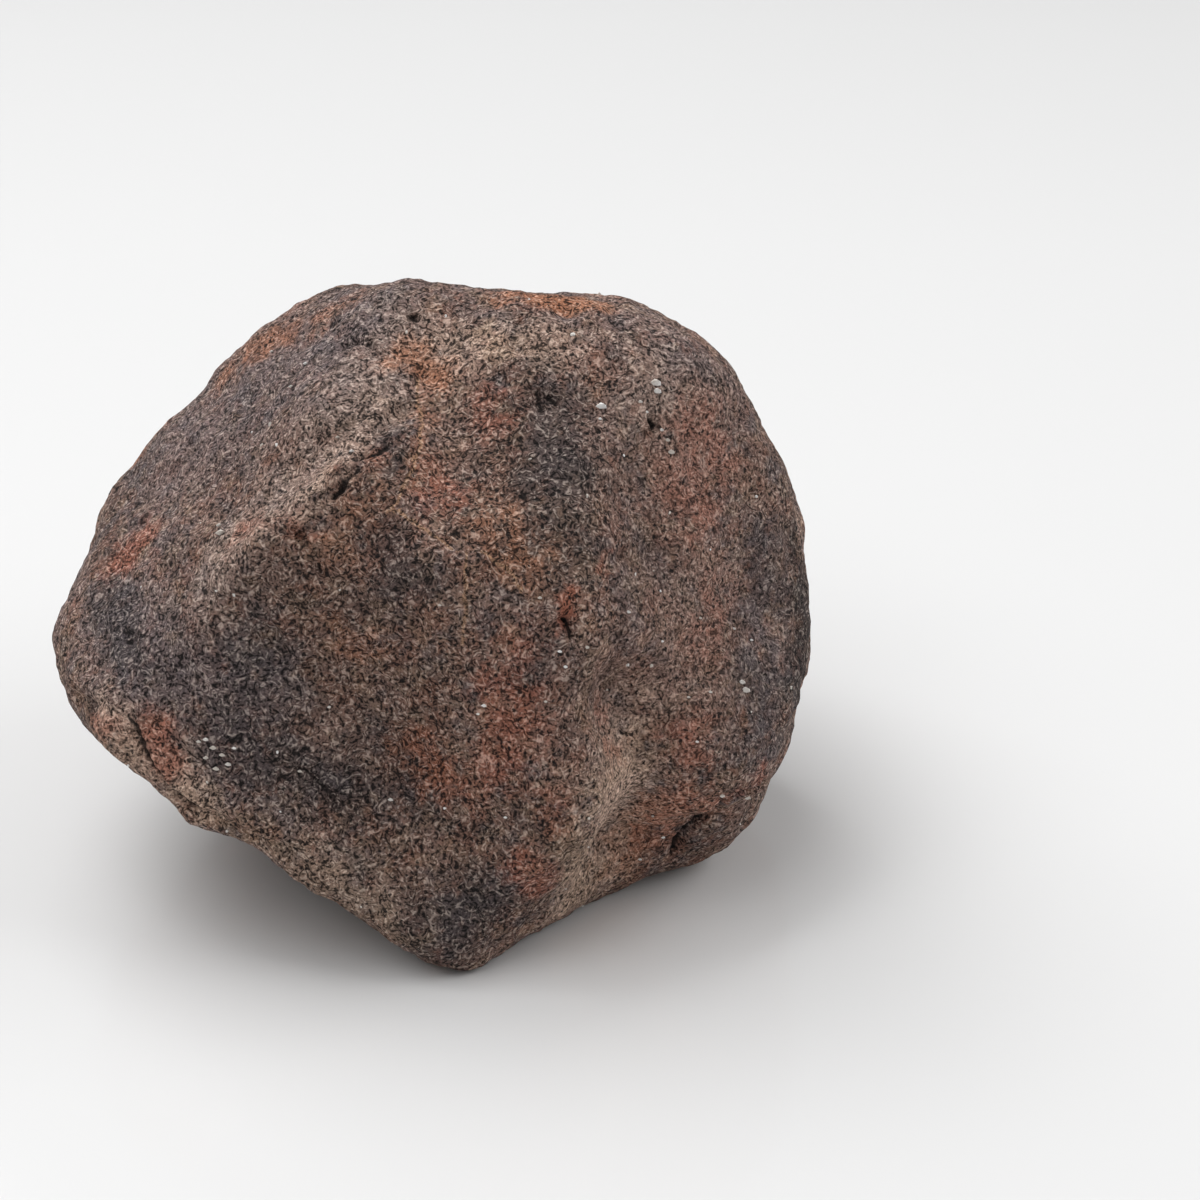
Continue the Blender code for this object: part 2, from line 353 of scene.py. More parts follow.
# Stains, and painted sheen, highlights and shade, seen from the front: where, kind, first and last pixel
# of the photograph, half width in mm, strength
SEEN_STAINS_AND_LIGHT = [
    # The next five rows: grey crust and painted sheen, on the lit upper-left face and along the rims
    ("left face", "grey", (200, 430), (330, 340), 3.6, 0.75),
    ("crest", "grey", (380, 310), (590, 320), 1.2, 0.3),
    ("right rim", "grey", (640, 330), (740, 400), 1.2, 0.5),
    ("left lobe", "grey", (120, 620), (230, 690), 2.4, 0.8),
    ("right flank", "grey", (760, 560), (770, 740), 1.5, 0.5),
    # The next four rows: dark brown crust and painted shade, in the front hollow, under the knob and in
    # the middle
    ("front", "deep", (330, 620), (430, 860), 4.2, 0.45),
    ("knob", "deep", (530, 460), (545, 545), 2.0, 1.0),
    ("middle shade", "deep", (470, 500), (510, 530), 1.3, 0.8),
    ("middle shade low", "deep", (530, 550), (560, 575), 1.0, 0.7),
    # The next two rows: painted light on the lit left face, up to the scarp
    ("left face edge", "pale", (405, 345), (330, 445), 1.3, 0.8),
    ("left face foot", "pale", (300, 480), (215, 570), 1.4, 0.8),
    ("left lobe low", "pale", (120, 735), (190, 775), 1.0, 0.7),
    ("underface", "pale", (320, 862), (395, 915), 0.9, 0.7),
    ("crest right", "pale", (650, 390), (700, 460), 1.6, 0.7),
    # Painted light on the flank, where light from the floor and the right falls
    ("flank", "pale", (605, 730), (588, 885), 1.2, 1.0),
    ("right middle", "pale", (715, 590), (700, 640), 1.2, 0.5),
    # The next seven rows: pale tan crust and painted highlight, mostly on the flank's lit band, the
    # scarp's bright rim and the crest
    ("flank low", "chalk", (614, 785), (580, 885), 1.5, 1.0),
    ("crack pale", "chalk", (655, 815), (610, 868), 1.2, 0.8),
    ("flank high", "chalk", (622, 735), (604, 790), 0.9, 0.6),
    ("flank side", "chalk", (645, 690), (640, 725), 0.7, 0.4),
    ("left lobe foot", "chalk", (105, 705), (195, 805), 0.8, 0.8),
    ("scarp rim", "chalk", (392, 412), (300, 510), 0.6, 0.5),
    ("crest middle", "chalk", (430, 350), (550, 345), 1.0, 0.55),
    ("right face", "pink", (680, 460), (660, 660), 3.4, 0.55),
    ("middle", "pink", (470, 430), (500, 480), 1.6, 0.4),
    ("left lower slope", "pink", (285, 455), (180, 470), 1.2, 0.4),
    ("left tip blot", "dark", (108, 600), (128, 655), 1.0, 0.85),
    # The next three rows: painted shade in the front hollow, which faces away from the light
    ("left hollow", "dark", (262, 630), (250, 700), 1.3, 0.6),
    ("left foot", "dark", (230, 735), (330, 785), 1.4, 0.85),
    ("hollow blot", "dark", (385, 730), (430, 790), 1.0, 0.65),
    # The next two rows: painted shadow under the scarp's rim
    ("below scarp", "dark", (390, 525), (398, 575), 1.0, 0.75),
    ("scarp corner", "dark", (384, 428), (394, 466), 0.55, 0.75),
    ("knob top", "dark", (530, 372), (555, 405), 0.8, 0.6),
    # Dark crust and painted shade on the knob's side, which faces down
    ("knob side", "dark", (565, 420), (545, 480), 1.3, 0.8),
    ("middle blot", "dark", (545, 655), (535, 672), 0.9, 0.7),
    ("foot", "dark", (440, 935), (485, 905), 1.5, 0.85),
    ("right blot", "dark", (640, 545), (660, 560), 0.8, 0.5),
    ("right end", "dark", (765, 545), (775, 590), 1.1, 0.6),
    ("right lower end", "dark", (755, 680), (765, 745), 1.2, 0.6),
    # The next three rows: painted shade along the right rim, where light from the right and the floor
    # falls
    ("right edge high", "black", (790, 520), (804, 590), 0.5, 0.8),
    ("right edge", "black", (806, 590), (796, 690), 0.9, 1.0),
    ("right edge low", "black", (790, 715), (778, 755), 0.5, 0.6),
    ("small spot left", "dark", (330, 848), (360, 878), 0.35, 0.7),
    ("small spot right", "dark", (556, 862), (560, 876), 0.3, 0.8),
    ("left shoulder", "orange", (225, 372), (285, 328), 0.7, 0.7),
    ("crest edge", "orange", (325, 318), (350, 302), 0.7, 0.5),
    ("valley head", "orange", (408, 358), (440, 378), 0.75, 0.8),
    ("valley vein", "orange", (424, 400), (408, 480), 0.35, 0.4),
    ("top rim", "orange", (500, 294), (600, 304), 0.5, 0.9),
    ("crack orange", "orange", (665, 815), (625, 860), 1.2, 0.5),
    ("mid stain", "orange", (500, 525), (530, 560), 0.9, 0.45),
    ("front stain", "orange", (340, 545), (365, 510), 0.9, 0.35),
    ("front ring", "orange", (335, 640), (365, 650), 0.8, 0.35),
    ("left tip", "rust", (118, 560), (140, 540), 0.8, 0.9),
    ("strip", "rust", (150, 725), (172, 772), 0.55, 0.9),
    ("strip end", "rust", (92, 712), (112, 735), 0.5, 0.6),
    ("scarp spot", "rust", (362, 458), (374, 455), 0.3, 0.9),
    ("below left face", "rust", (245, 528), (300, 540), 0.5, 0.5),
    ("valley foot", "rust", (430, 488), (450, 500), 0.8, 0.55),
    ("upper middle red", "rust", (488, 400), (500, 425), 0.8, 0.45),
    ("red spot high", "rust", (596, 572), (606, 565), 0.35, 0.9),
    ("red spot", "rust", (566, 600), (560, 625), 0.35, 1.0),
    ("middle red", "rust", (495, 682), (525, 700), 0.8, 0.75),
    ("middle red low", "rust", (520, 720), (495, 765), 1.0, 0.65),
    ("low orange", "rust", (465, 785), (475, 800), 0.6, 0.5),
    ("right upper red", "rust", (700, 430), (718, 465), 1.2, 0.55),
    ("right red", "rust", (685, 480), (700, 510), 1.1, 0.5),
    ("right mid red", "rust", (715, 600), (705, 640), 0.9, 0.45),
    ("right low red", "rust", (685, 730), (695, 760), 0.8, 0.5),
    ("crack stain", "rust", (678, 800), (655, 835), 0.9, 0.6),
    ("crack side", "rust", (690, 810), (760, 778), 0.4, 0.7),
    ("low middle red", "rust", (425, 750), (445, 780), 0.8, 0.4),
    ("low middle orange", "orange", (410, 745), (440, 775), 0.9, 0.4),
    ("flank red", "rust", (598, 715), (612, 745), 0.6, 0.5),
    ("crack red", "rust", (680, 800), (705, 815), 0.7, 0.4),
    ("foot right high", "rust", (545, 800), (560, 820), 0.7, 0.6),
    ("middle right", "rust", (505, 635), (525, 655), 0.7, 0.5),
    ("foot right", "rust", (528, 868), (545, 885), 0.8, 0.7),
    ("yellow crumb", "tan", (480, 332), (486, 330), 0.4, 0.9),
    ("yellow crumb low", "tan", (492, 350), (508, 350), 0.4, 0.9),
    # The next two rows: tan crust and painted light on the flank's lit band
    ("flank band", "tan", (640, 738), (582, 800), 0.9, 0.5),
    ("flank band low", "tan", (575, 830), (585, 885), 0.9, 0.75),
    ("underface", "tan", (190, 812), (300, 862), 0.9, 0.5),
    ("underface low", "tan", (300, 865), (400, 935), 0.8, 0.55),
    ("underface left", "tan", (75, 700), (130, 760), 0.6, 0.45),
    ("foot flecks", "tan", (385, 920), (420, 940), 0.5, 0.5),
    ("right face", "smooth", (690, 470), (650, 700), 3.6, 0.8),
    ("right end", "smooth", (770, 560), (750, 720), 2.0, 0.9),
    ("left rim", "smooth", (95, 560), (290, 330), 0.9, 0.9),
    ("top rim", "smooth", (420, 285), (640, 305), 0.7, 0.8),
    ("right rim", "smooth", (690, 340), (770, 450), 1.0, 0.8),
    ("crack side", "smooth", (655, 825), (630, 855), 1.3, 0.9),
    ("strip", "smooth", (80, 700), (160, 780), 0.8, 0.8),
]

# Stains on the sides that the photograph doesn't show: kind, first and last direction from the middle,
# half width, strength
OTHER_STAINS = [
    ("pale", (130, 35), (115, 20), 1.6, 0.6),
    ("pale", (60, -10), (75, -25), 1.4, 0.6),
    ("pale", (180, -50), (150, -60), 1.4, 0.6),
    ("rust", (75, 25), (95, 12), 1.5, 0.7),
    ("rust", (150, 5), (165, -12), 1.3, 0.7),
    ("rust", (40, -25), (52, -38), 1.2, 0.6),
    ("rust", (120, -35), (105, -48), 1.1, 0.6),
    ("rust", (20, 42), (32, 30), 1.2, 0.6),
    ("rust", (200, -48), (220, -58), 1.0, 0.6),
    ("orange", (110, 48), (135, 40), 1.0, 0.7),
    ("orange", (60, 2), (64, -15), 0.7, 0.6),
    ("orange", (170, 22), (160, 36), 0.8, 0.6),
    ("orange", (10, -48), (-20, -60), 0.8, 0.5),
    ("dark", (85, 50), (60, 42), 2.0, 0.7),
    ("dark", (128, 10), (118, -12), 1.9, 0.75),
    ("dark", (28, 8), (22, -14), 1.6, 0.65),
    ("dark", (175, -25), (150, -35), 1.8, 0.7),
    ("dark", (75, -35), (85, -60), 2.0, 0.65),
    ("dark", (-90, -75), (-40, -70), 2.0, 0.6),
    ("grey", (100, 30), (140, 20), 3.0, 0.6),
    ("grey", (50, 25), (30, 40), 2.4, 0.6),
    ("grey", (190, 0), (170, -5), 2.4, 0.5),
    ("grey", (90, -20), (60, -30), 2.6, 0.5),
    ("pink", (80, 5), (45, 10), 2.6, 0.5),
    ("pink", (140, -20), (125, -55), 2.4, 0.5),
    ("tan", (100, -5), (84, -22), 1.0, 0.5),
    ("tan", (160, -50), (190, -70), 1.2, 0.5),
    ("tan", (36, 55), (60, 62), 0.8, 0.5),
    ("deep", (110, 0), (100, -30), 3.0, 0.4),
    ("deep", (0, -75), (180, -80), 3.4, 0.4),
    ("smooth", (60, 20), (90, 30), 2.6, 0.8),
    ("smooth", (150, -10), (120, -30), 2.2, 0.8),
]

# Kinds of stain, and of painted sheen, highlight and shade, and smooth, where the froth is fainter
KINDS = ("grey", "deep", "pink", "pale", "chalk", "dark", "black", "tan", "orange", "rust", "smooth")

# Sizes of the skin's relief in mm, which are inputs of its tree
RELIEF = {
    "Lump Size": 2.6, "Lump Height": 0.28,
    "Knob Size": 0.95, "Knob Height": 0.15,
    "Grain Size": 0.42, "Grain Height": 0.06,
    "Pit Size": 1.7, "Pit Depth": 0.22,
    "Crevice Depth": 0.4,
    "Stain Warp": 2.4,
}

# Layers of the relief, with the roughness of the noise that makes each
LAYERS = {"Lump": 0.4, "Knob": 0.5, "Grain": 0.6}

# How places are moved about, in mm, before anything is drawn there, so that its edges aren't smooth
RAGGED = {"size": 1.1, "reach": 0.9, "detail": 2.0}            # for ledges and pits
CRUMBLY = {"size": 0.45, "reach": 0.4}                         # for cracks and veins
BLOTCHY = {"size": 1.7, "detail": 3.0, "roughness": 0.6}       # for stains, by the tree's Stain Warp

SKIN_SPLITS = 2                  # times that each edge of the solid is halved
PIT_EDGE = (0.34, 0.05)          # where a pit starts and is deepest, in cells from its middle
PIT_CHANCE = (0.55, 0.95)        # cells up to the first have no pit, and from the second a full one
STREAK_EDGE = (1.8, 0.2)         # where a streak ends and is full, in half widths from its line
BANK_WIDTH = 0.2                 # mm beside a crack, over which its mask spreads
BANK_EDGE = (0.24, 0.04)         # mm from a crack's line, where the skin starts to dip and is lowest


def streak_group():
    """Group: Strength within Half Width of the line from Start to End, fading to 0 outside."""
    nodes, given, result = new_group(
        "streak", "GeometryNodeTree",
        [("Vector", "Vector", None), ("Start", "Vector", None), ("End", "Vector", None),
         ("Half Width", "Float", 1.0), ("Strength", "Float", 1.0)],
        [("Mask", "Float")])
    along = nodes.vector("SUBTRACT", given["End"], given["Start"])
    from_start = nodes.vector("SUBTRACT", given["Vector"], given["Start"])
    length_squared = nodes.vector("DOT_PRODUCT", along, along)
    share = nodes.math("DIVIDE", nodes.vector("DOT_PRODUCT", from_start, along), length_squared)
    share = nodes.math("MINIMUM", nodes.math("MAXIMUM", share, 0.0), 1.0)
    distance = nodes.vector("DISTANCE", from_start, nodes.vector("SCALE", along, share))
    mask = nodes.step(nodes.math("DIVIDE", distance, given["Half Width"]), *STREAK_EDGE)
    nodes.fill(result["Mask"], nodes.math("MULTIPLY", mask, given["Strength"]))
    return nodes.tree


def streaks(nodes, group, vector, rows):
    """The strongest of several streaks: first place, last place, half width and strength of each."""
    most = 0.0
    for first, last, half_width, strength in rows:
        inputs = {"Vector": vector, "Start": first, "End": last,
                  "Half Width": half_width, "Strength": strength}
        streak = nodes.named("GeometryNodeGroup", inputs, node_tree=group)
        most = nodes.math("MAXIMUM", most, streak.outputs["Mask"])
    return most


def line_object(name, chains):
    """Chains of edges through places in mm, for the tree to measure distances from."""
    points = []
    edges = []
    for chain in chains:
        edges += [(len(points) + i, len(points) + i + 1) for i in range(len(chain) - 1)]
        points += [place * MM for place in chain]
    mesh = bpy.data.meshes.new(name)
    mesh.from_pydata(points, edges, [])
    return new_object(name, mesh)


def line_offset(nodes, place, normal, line):
    """The way in mm, along the surface, from the nearest point of a line to a place."""
    info = nodes.named("GeometryNodeObjectInfo", {"Object": line})
    metres = nodes.vector("SCALE", place, MM)
    near = nodes.add("GeometryNodeProximity", info.outputs["Geometry"], target_element="EDGES")
    nodes.fill(near.inputs["Sample Position"], metres)
    offset = nodes.vector("SUBTRACT", metres, near.outputs["Position"])
    outwards = nodes.vector("SCALE", normal, nodes.vector("DOT_PRODUCT", offset, normal))
    return nodes.vector("SCALE", nodes.vector("SUBTRACT", offset, outwards), 1.0 / MM)


def ledge(nodes, place, normal, line, downhill, drop, half_width, reach):
    """Height in mm beside a line: half the drop upwards on its upper side, and downwards on the lower."""
    offset = line_offset(nodes, place, normal, line)
    across = nodes.vector("DOT_PRODUCT", offset, downhill)
    fade = nodes.step(nodes.vector("LENGTH", offset), reach, 0.0)
    fall = nodes.step(across, -half_width, half_width, drop / 2, -drop / 2)
    return nodes.math("MULTIPLY", fall, fade)


def crevices():
    """Places in mm along every crack, its half width and its depth."""
    cracks = [([seen(pixel) for pixel in pixels], *sizes) for pixels, *sizes in SEEN_CREVICES]
    cracks += [([towards(*way) for way in ways], *sizes) for ways, *sizes in OTHER_CREVICES]
    return cracks


def crevice_rows(bank=0.0):
    """Ends, half width with a bank beside it, and depth of every short stretch of every crack."""
    return [(first, last, half_width + bank, depth)
            for places, half_width, depth in crevices() for first, last in zip(places, places[1:])]


def stain_and_light_rows(kind):
    """Places, half width and strength of every stain, painted highlight and painted shade of a kind."""
    rows = [(seen(first), seen(last), half_width, strength)
            for _, stain, first, last, half_width, strength in SEEN_STAINS_AND_LIGHT if stain == kind]
    rows += [(towards(*first), towards(*last), half_width, strength)
             for stain, first, last, half_width, strength in OTHER_STAINS if stain == kind]
    return rows


def store(nodes, shape, name, value, data_type):
    """The shape with a value stored at each of its points."""
    inputs = {"Geometry": shape, "Name": name, "Value": value}
    kept = nodes.named("GeometryNodeStoreNamedAttribute", inputs, data_type=data_type, domain="POINT")
    return kept.outputs[0]


def relief(nodes, given, place, ragged):
    """Height in mm of the lumps, knobs, grain and pits all over the skin."""
    height = 0.0
    for layer, roughness in LAYERS.items():
        wave = nodes.noise(place, given[layer + " Size"], 1.0, roughness)
        wave = nodes.math("MULTIPLY", nodes.math("SUBTRACT", wave, 0.5), 2.0)
        height = nodes.math("ADD", height, nodes.math("MULTIPLY", wave, given[layer + " Height"]))
    far, chance = nodes.cells(ragged, given["Pit Size"])
    pit = nodes.math("MULTIPLY", nodes.step(far, *PIT_EDGE), nodes.step(chance, *PIT_CHANCE))
    return nodes.math("SUBTRACT", height, nodes.math("MULTIPLY", pit, given["Pit Depth"]))


def skin_tree():
    """The stone's skin: its solid subdivided, raised and pitted along its normals, inside its own box.

    It also stores how strongly each kind of stain, painted highlight and painted shade shows at each
    point, and the way from the nearest crack and vein, as attributes for the crust material.
    """
    inputs = [("Geometry", "Geometry", None), ("Material", "Material", None)]
    inputs += [(name, "Float", value) for name, value in RELIEF.items()]
    inputs += [(name, "Vector", None) for name in ("Lowest", "Highest")]
    inputs += [(name, "Object", None) for name in (*LEDGES, "Crevices", "Veins")]
    nodes, given, result = new_group("stone_skin", "GeometryNodeTree", inputs, [("Geometry", "Geometry")])
    solid = {"Mesh": given["Geometry"], "Level": SKIN_SPLITS}
    shape = nodes.named("GeometryNodeSubdivisionSurface", solid).outputs[0]
    position = nodes.add("GeometryNodeInputPosition").outputs[0]
    normal = nodes.add("GeometryNodeInputNormal").outputs[0]
    place = nodes.vector("SCALE", position, 1.0 / MM)
    ragged = nodes.shaken(place, **RAGGED)
    crumbly = nodes.shaken(place, **CRUMBLY)
    blotchy = nodes.shaken(place, reach=given["Stain Warp"], **BLOTCHY)

    height = relief(nodes, given, place, ragged)
    for name, (_, *sizes) in LEDGES.items():
        height = nodes.math("ADD", height, ledge(nodes, ragged, normal, given[name], *sizes))

    streak = streak_group()
    crevice_offset = line_offset(nodes, crumbly, normal, given["Crevices"])
    dip = nodes.step(nodes.vector("LENGTH", crevice_offset), *BANK_EDGE)
    around = streaks(nodes, streak, crumbly, crevice_rows(BANK_WIDTH))
    hole = streaks(nodes, streak, crumbly, crevice_rows())
    cut = nodes.math("MAXIMUM", hole, nodes.math("MULTIPLY", around, dip))
    height = nodes.math("SUBTRACT", height, nodes.math("MULTIPLY", cut, given["Crevice Depth"]))

    masks = {kind: streaks(nodes, streak, blotchy, stain_and_light_rows(kind)) for kind in KINDS}
    masks["hole"] = hole
    masks["crevice"] = around
    masks["crevice_offset"] = crevice_offset
    masks["vein_offset"] = line_offset(nodes, crumbly, normal, given["Veins"])
    for name, mask in masks.items():
        data_type = "FLOAT_VECTOR" if name.endswith("offset") else "FLOAT"
        shape = store(nodes, shape, name, mask, data_type)

    offset = nodes.vector("SCALE", normal, nodes.math("MULTIPLY", height, MM))
    shape = nodes.named("GeometryNodeSetPosition", {"Geometry": shape, "Offset": offset}).outputs[0]
    inside = nodes.vector("MINIMUM", nodes.vector("MAXIMUM", position, given["Lowest"]), given["Highest"])
    shape = nodes.named("GeometryNodeSetPosition", {"Geometry": shape, "Position": inside}).outputs[0]
    shape = nodes.add("GeometryNodeSetShadeSmooth", shape).outputs[0]
    finish_tree(nodes, shape, given, result)
    return nodes.tree


def finish_tree(nodes, shape, given, result):
    """The tree's end: its instances made real, and the material set."""
    real = nodes.add("GeometryNodeRealizeInstances", shape).outputs[0]
    coated = nodes.named("GeometryNodeSetMaterial", {"Geometry": real, "Material": given["Material"]})
    nodes.fill(result["Geometry"], coated.outputs[0])


def run_tree(name, mesh, tree, values):
    """The plain mesh object that a tree makes of a mesh. Values go by the names of the tree's inputs."""
    source = new_object(name, mesh)
    modifier = source.modifiers.new(name, "NODES")
    modifier.node_group = tree
    for socket in tree.interface.items_tree:
        if socket.in_out == "INPUT" and socket.name in values:
            modifier[socket.identifier] = values[socket.name]
    ready = source.evaluated_get(bpy.context.evaluated_depsgraph_get())
    plain = bpy.data.meshes.new_from_object(ready)
    plain.name = name
    source.modifiers.remove(modifier)
    source.data = plain
    return source


def joined_solid():
    """A copy of the stone's solid with its loose triangles joined."""
    solid = bmesh.new()
    solid.from_mesh(STONE.data)
    bmesh.ops.remove_doubles(solid, verts=solid.verts[:], dist=0.0001 * MM)
    mesh = bpy.data.meshes.new("joined_solid")
    points = [vertex.co.copy() for vertex in solid.verts]
    faces = [[vertex.index for vertex in face.verts] for face in solid.faces]
    solid.free()
    mesh.from_pydata(points, [], faces)
    return mesh


def make_skin(material):
    lines = {name: line_object(name, [[seen(pixel) for pixel in row[0]]]) for name, row in LEDGES.items()}
    lines["Crevices"] = line_object("Crevices", [places for places, _, _ in crevices()])
    lines["Veins"] = line_object("Veins", [[seen(pixel) for pixel in vein] for vein in VEINS])
    values = {"Material": material, "Lowest": list(CAD_LOW), "Highest": list(CAD_HIGH), **lines}
    skin = run_tree("crust_skin", joined_solid(), skin_tree(), values)
    for line in lines.values():
        bpy.data.objects.remove(line, do_unlink=True)
    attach(skin, "root")
    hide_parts("stone")
    return skin


# Crust material

COLOURS = {
    "low": (0.150, 0.094, 0.078, 1.0),
    "high": (0.330, 0.205, 0.165, 1.0),
    "thread": (0.420, 0.360, 0.310, 1.0),
    # Grey crust, also used as painted sheen
    "grey": (0.185, 0.158, 0.170, 1.0),
    "cool": (0.135, 0.120, 0.130, 1.0),
    "warm": (0.290, 0.130, 0.085, 1.0),
    # Dark brown crust, also used as painted shade
    "deep": (0.120, 0.078, 0.060, 1.0),
    "pink": (0.290, 0.180, 0.148, 1.0),
    # Pale crust, also used as painted light
    "pale": (0.440, 0.320, 0.268, 1.0),
    # Pale tan, used mostly as painted highlight
    "chalk": (0.680, 0.475, 0.370, 1.0),
    # Dark crust, also used as painted shade
    "dark": (0.062, 0.056, 0.062, 1.0),
    # Painted shade for the right rim
    "black": (0.032, 0.028, 0.030, 1.0),
    # Tan crust, also used as painted light on the flank's band
    "tan": (0.400, 0.275, 0.185, 1.0),
    "orange": (0.480, 0.200, 0.105, 1.0),
    "rust": (0.400, 0.130, 0.078, 1.0),
    "vein": (0.480, 0.280, 0.170, 1.0),
    # Near black: the dark deposit and painted shade of pits, cracks and holes
    "pore_dark_and_shade": (0.010, 0.008, 0.008, 1.0),
}

# How far each kind of stain and of painted light and shade, where it is strongest, hides the crust's own
# colour
HIDING = {"grey": 0.65, "deep": 0.6, "pink": 0.55, "pale": 0.6, "chalk": 0.8, "dark": 0.75, "black": 0.8,
          "tan": 0.6, "orange": 0.8, "rust": 0.75}

# Small patches of other colours all over the crust: kind, size in mm, shift of the noise that makes them,
# strength
PATCHES = [("cool", 1.5, 40.0, 0.5), ("warm", 1.2, 70.0, 0.5), ("tan", 0.9, 110.0, 0.3)]
PATCH_EDGE = (0.48, 0.62)        # noise where a patch starts and is full

PATCH_NOISE = {"detail": 4.0, "roughness": 0.65}

# The broad and the fine noise in the crust's own colour, with sizes in mm, and the share of each
MOTTLE = {"size": 2.4, "detail": 3.0, "roughness": 0.6}
MOTTLE_SHARE = 0.6
SPECKLE = {"size": 0.5, "detail": 3.0, "roughness": 0.6}
SPECKLE_SHARE = 0.4
BASE_RANGE = (0.35, 0.65)        # noise at which the crust's own colour is low and high
RAGGEDNESS = 2.4                 # how far the speckle breaks up the edges of stains

# The froth's curls are the sine of a noise, so they run along its contours
CURL_NOISE = {"detail": 1.0, "distortion": 0.5}
FINE_SIZE = 0.55                 # size and turns of the finer curls, to the coarse ones
FINE_TURNS = 0.8
FROTH_ASIDE = (31.0, 17.0, 9.0)  # mm from the coarse curls to the finer ones in the noise
PIT_BEND = {"size": 0.13, "reach": 0.22}
GRAIN_SIZE = 0.08                # mm

# Where threads, gaps and pits start and are full, in the froth's own numbers
THREAD_EDGE = (0.2, 0.9)
GAP_EDGE = (-0.35, -0.9)
FROTH_PIT_CHANCE = (0.4, 0.8)

# How much each part of the froth tints, lights or darkens the crust
SMOOTH_EDGE = (0.9, 0.1)         # smoothness at which the froth is faintest and full
SMOOTH_FROTH = 0.8               # the froth's strength where the crust is smooth
THREAD_TINT = 0.3
THREAD_LIGHT = 0.75
GRAIN_RANGE = (0.25, 0.75)
GRAIN_LIGHT = (0.35, 1.15)
GAP_SHADE = 0.85
PORE_SHADE = 0.9

# Veins and cracks: mm from the line where each starts and is full
VEIN_EDGE = (0.1, 0.03)
VEIN_WANDER = 0.05
VEIN_STRENGTH = 0.65
SLIT_EDGE = (0.2, 0.1)
SLIT_WANDER = 0.12
SLIT_NARROWING = 0.2             # by which a shallow crack is thinner
CREVICE_EDGE = (0.2, 0.6)
HOLE_EDGE = (0.45, 0.9)

# Heights of the finest relief, which is too fine for the mesh, in mm
THREAD_HEIGHT = 0.035
GRAIN_HEIGHT = 0.03
PORE_DEPTH = 0.05

CRUST_ROUGHNESS = 0.85
CRUST_SPECULAR = 0.2


def froth_group():
    """Group: pale curly threads, the dark gaps beside them, small ragged pits, and the finest grain."""
    nodes, given, result = new_group(
        "froth", "ShaderNodeTree",
        [("Vector", "Vector", None), ("Curl Size", "Float", 0.55), ("Curl Turns", "Float", 5.0),
         ("Pit Spacing", "Float", 0.19), ("Pit Width", "Float", 0.46)],
        [("Thread", "Float"), ("Gap", "Float"), ("Pit", "Float"), ("Grain", "Float")])

    def curl(vector, size, turns):
        wave = nodes.noise(vector, size, **CURL_NOISE)
        return nodes.math("SINE", nodes.math("MULTIPLY", nodes.math("MULTIPLY", wave, turns), math.tau))

    coarse = curl(given["Vector"], given["Curl Size"], given["Curl Turns"])
    aside = nodes.vector("ADD", given["Vector"], FROTH_ASIDE)
    fine_size = nodes.math("MULTIPLY", given["Curl Size"], FINE_SIZE)
    fine = curl(aside, fine_size, nodes.math("MULTIPLY", given["Curl Turns"], FINE_TURNS))
    line = nodes.math("MULTIPLY_ADD", fine, 0.5, nodes.math("MULTIPLY", coarse, 0.5))
    far, chance = nodes.cells(nodes.shaken(given["Vector"], **PIT_BEND), given["Pit Spacing"])
    pit = nodes.step(far, given["Pit Width"], nodes.math("MULTIPLY", given["Pit Width"], 0.5))
    nodes.fill(result["Thread"], nodes.step(line, *THREAD_EDGE))
    nodes.fill(result["Gap"], nodes.step(line, *GAP_EDGE))
    nodes.fill(result["Pit"], nodes.math("MULTIPLY", pit, nodes.step(chance, *FROTH_PIT_CHANCE)))
    nodes.fill(result["Grain"], nodes.noise(aside, GRAIN_SIZE, 1.0))
    return nodes.tree


def stained_and_lit_colour(nodes, place, speckle, uneven):
    """The crust's own colour with its patches, its stains, and painted sheen, highlights and shade."""
    mottle = nodes.math("MULTIPLY", nodes.noise(place, **MOTTLE), MOTTLE_SHARE)
    blend = nodes.math("ADD", mottle, nodes.math("MULTIPLY", speckle, SPECKLE_SHARE))
    colour = nodes.mix(nodes.step(blend, *BASE_RANGE), COLOURS["low"], COLOURS["high"])
    for kind, size, shift, strength in PATCHES:
        elsewhere = nodes.vector("ADD", place, (shift, shift, 0.0))
        patch = nodes.step(nodes.noise(elsewhere, size, **PATCH_NOISE), *PATCH_EDGE)
        colour = nodes.mix(nodes.math("MULTIPLY", patch, strength), colour, COLOURS[kind])
    for kind, hiding in HIDING.items():
        stain = nodes.stored(kind)
        shown = nodes.math("MULTIPLY", nodes.step(nodes.math("ADD", stain, uneven), 0.0, 1.0), stain)
        shown = nodes.math("MULTIPLY", nodes.math("POWER", shown, 0.5), hiding)
        colour = nodes.mix(shown, colour, COLOURS[kind])
    from_vein = nodes.vector("LENGTH", nodes.stored("vein_offset", "Vector"))
    from_vein = nodes.math("MULTIPLY_ADD", uneven, VEIN_WANDER, from_vein)
    return nodes.mix(nodes.step(from_vein, *VEIN_EDGE, 0.0, VEIN_STRENGTH), colour, COLOURS["vein"])


def cracked(nodes, uneven):
    """How far the crust is opened by a crack or a hole, from 0 to 1."""
    crevice = nodes.stored("crevice")
    from_crack = nodes.vector("LENGTH", nodes.stored("crevice_offset", "Vector"))
    from_crack = nodes.math("MULTIPLY_ADD", uneven, SLIT_WANDER, from_crack)
    shallow = nodes.math("SUBTRACT", 1.0, crevice)
    from_crack = nodes.math("MULTIPLY_ADD", shallow, SLIT_NARROWING, from_crack)
    slit = nodes.math("MULTIPLY", nodes.step(from_crack, *SLIT_EDGE), nodes.step(crevice, *CREVICE_EDGE))
    return nodes.math("MAXIMUM", slit, nodes.step(nodes.stored("hole"), *HOLE_EDGE))


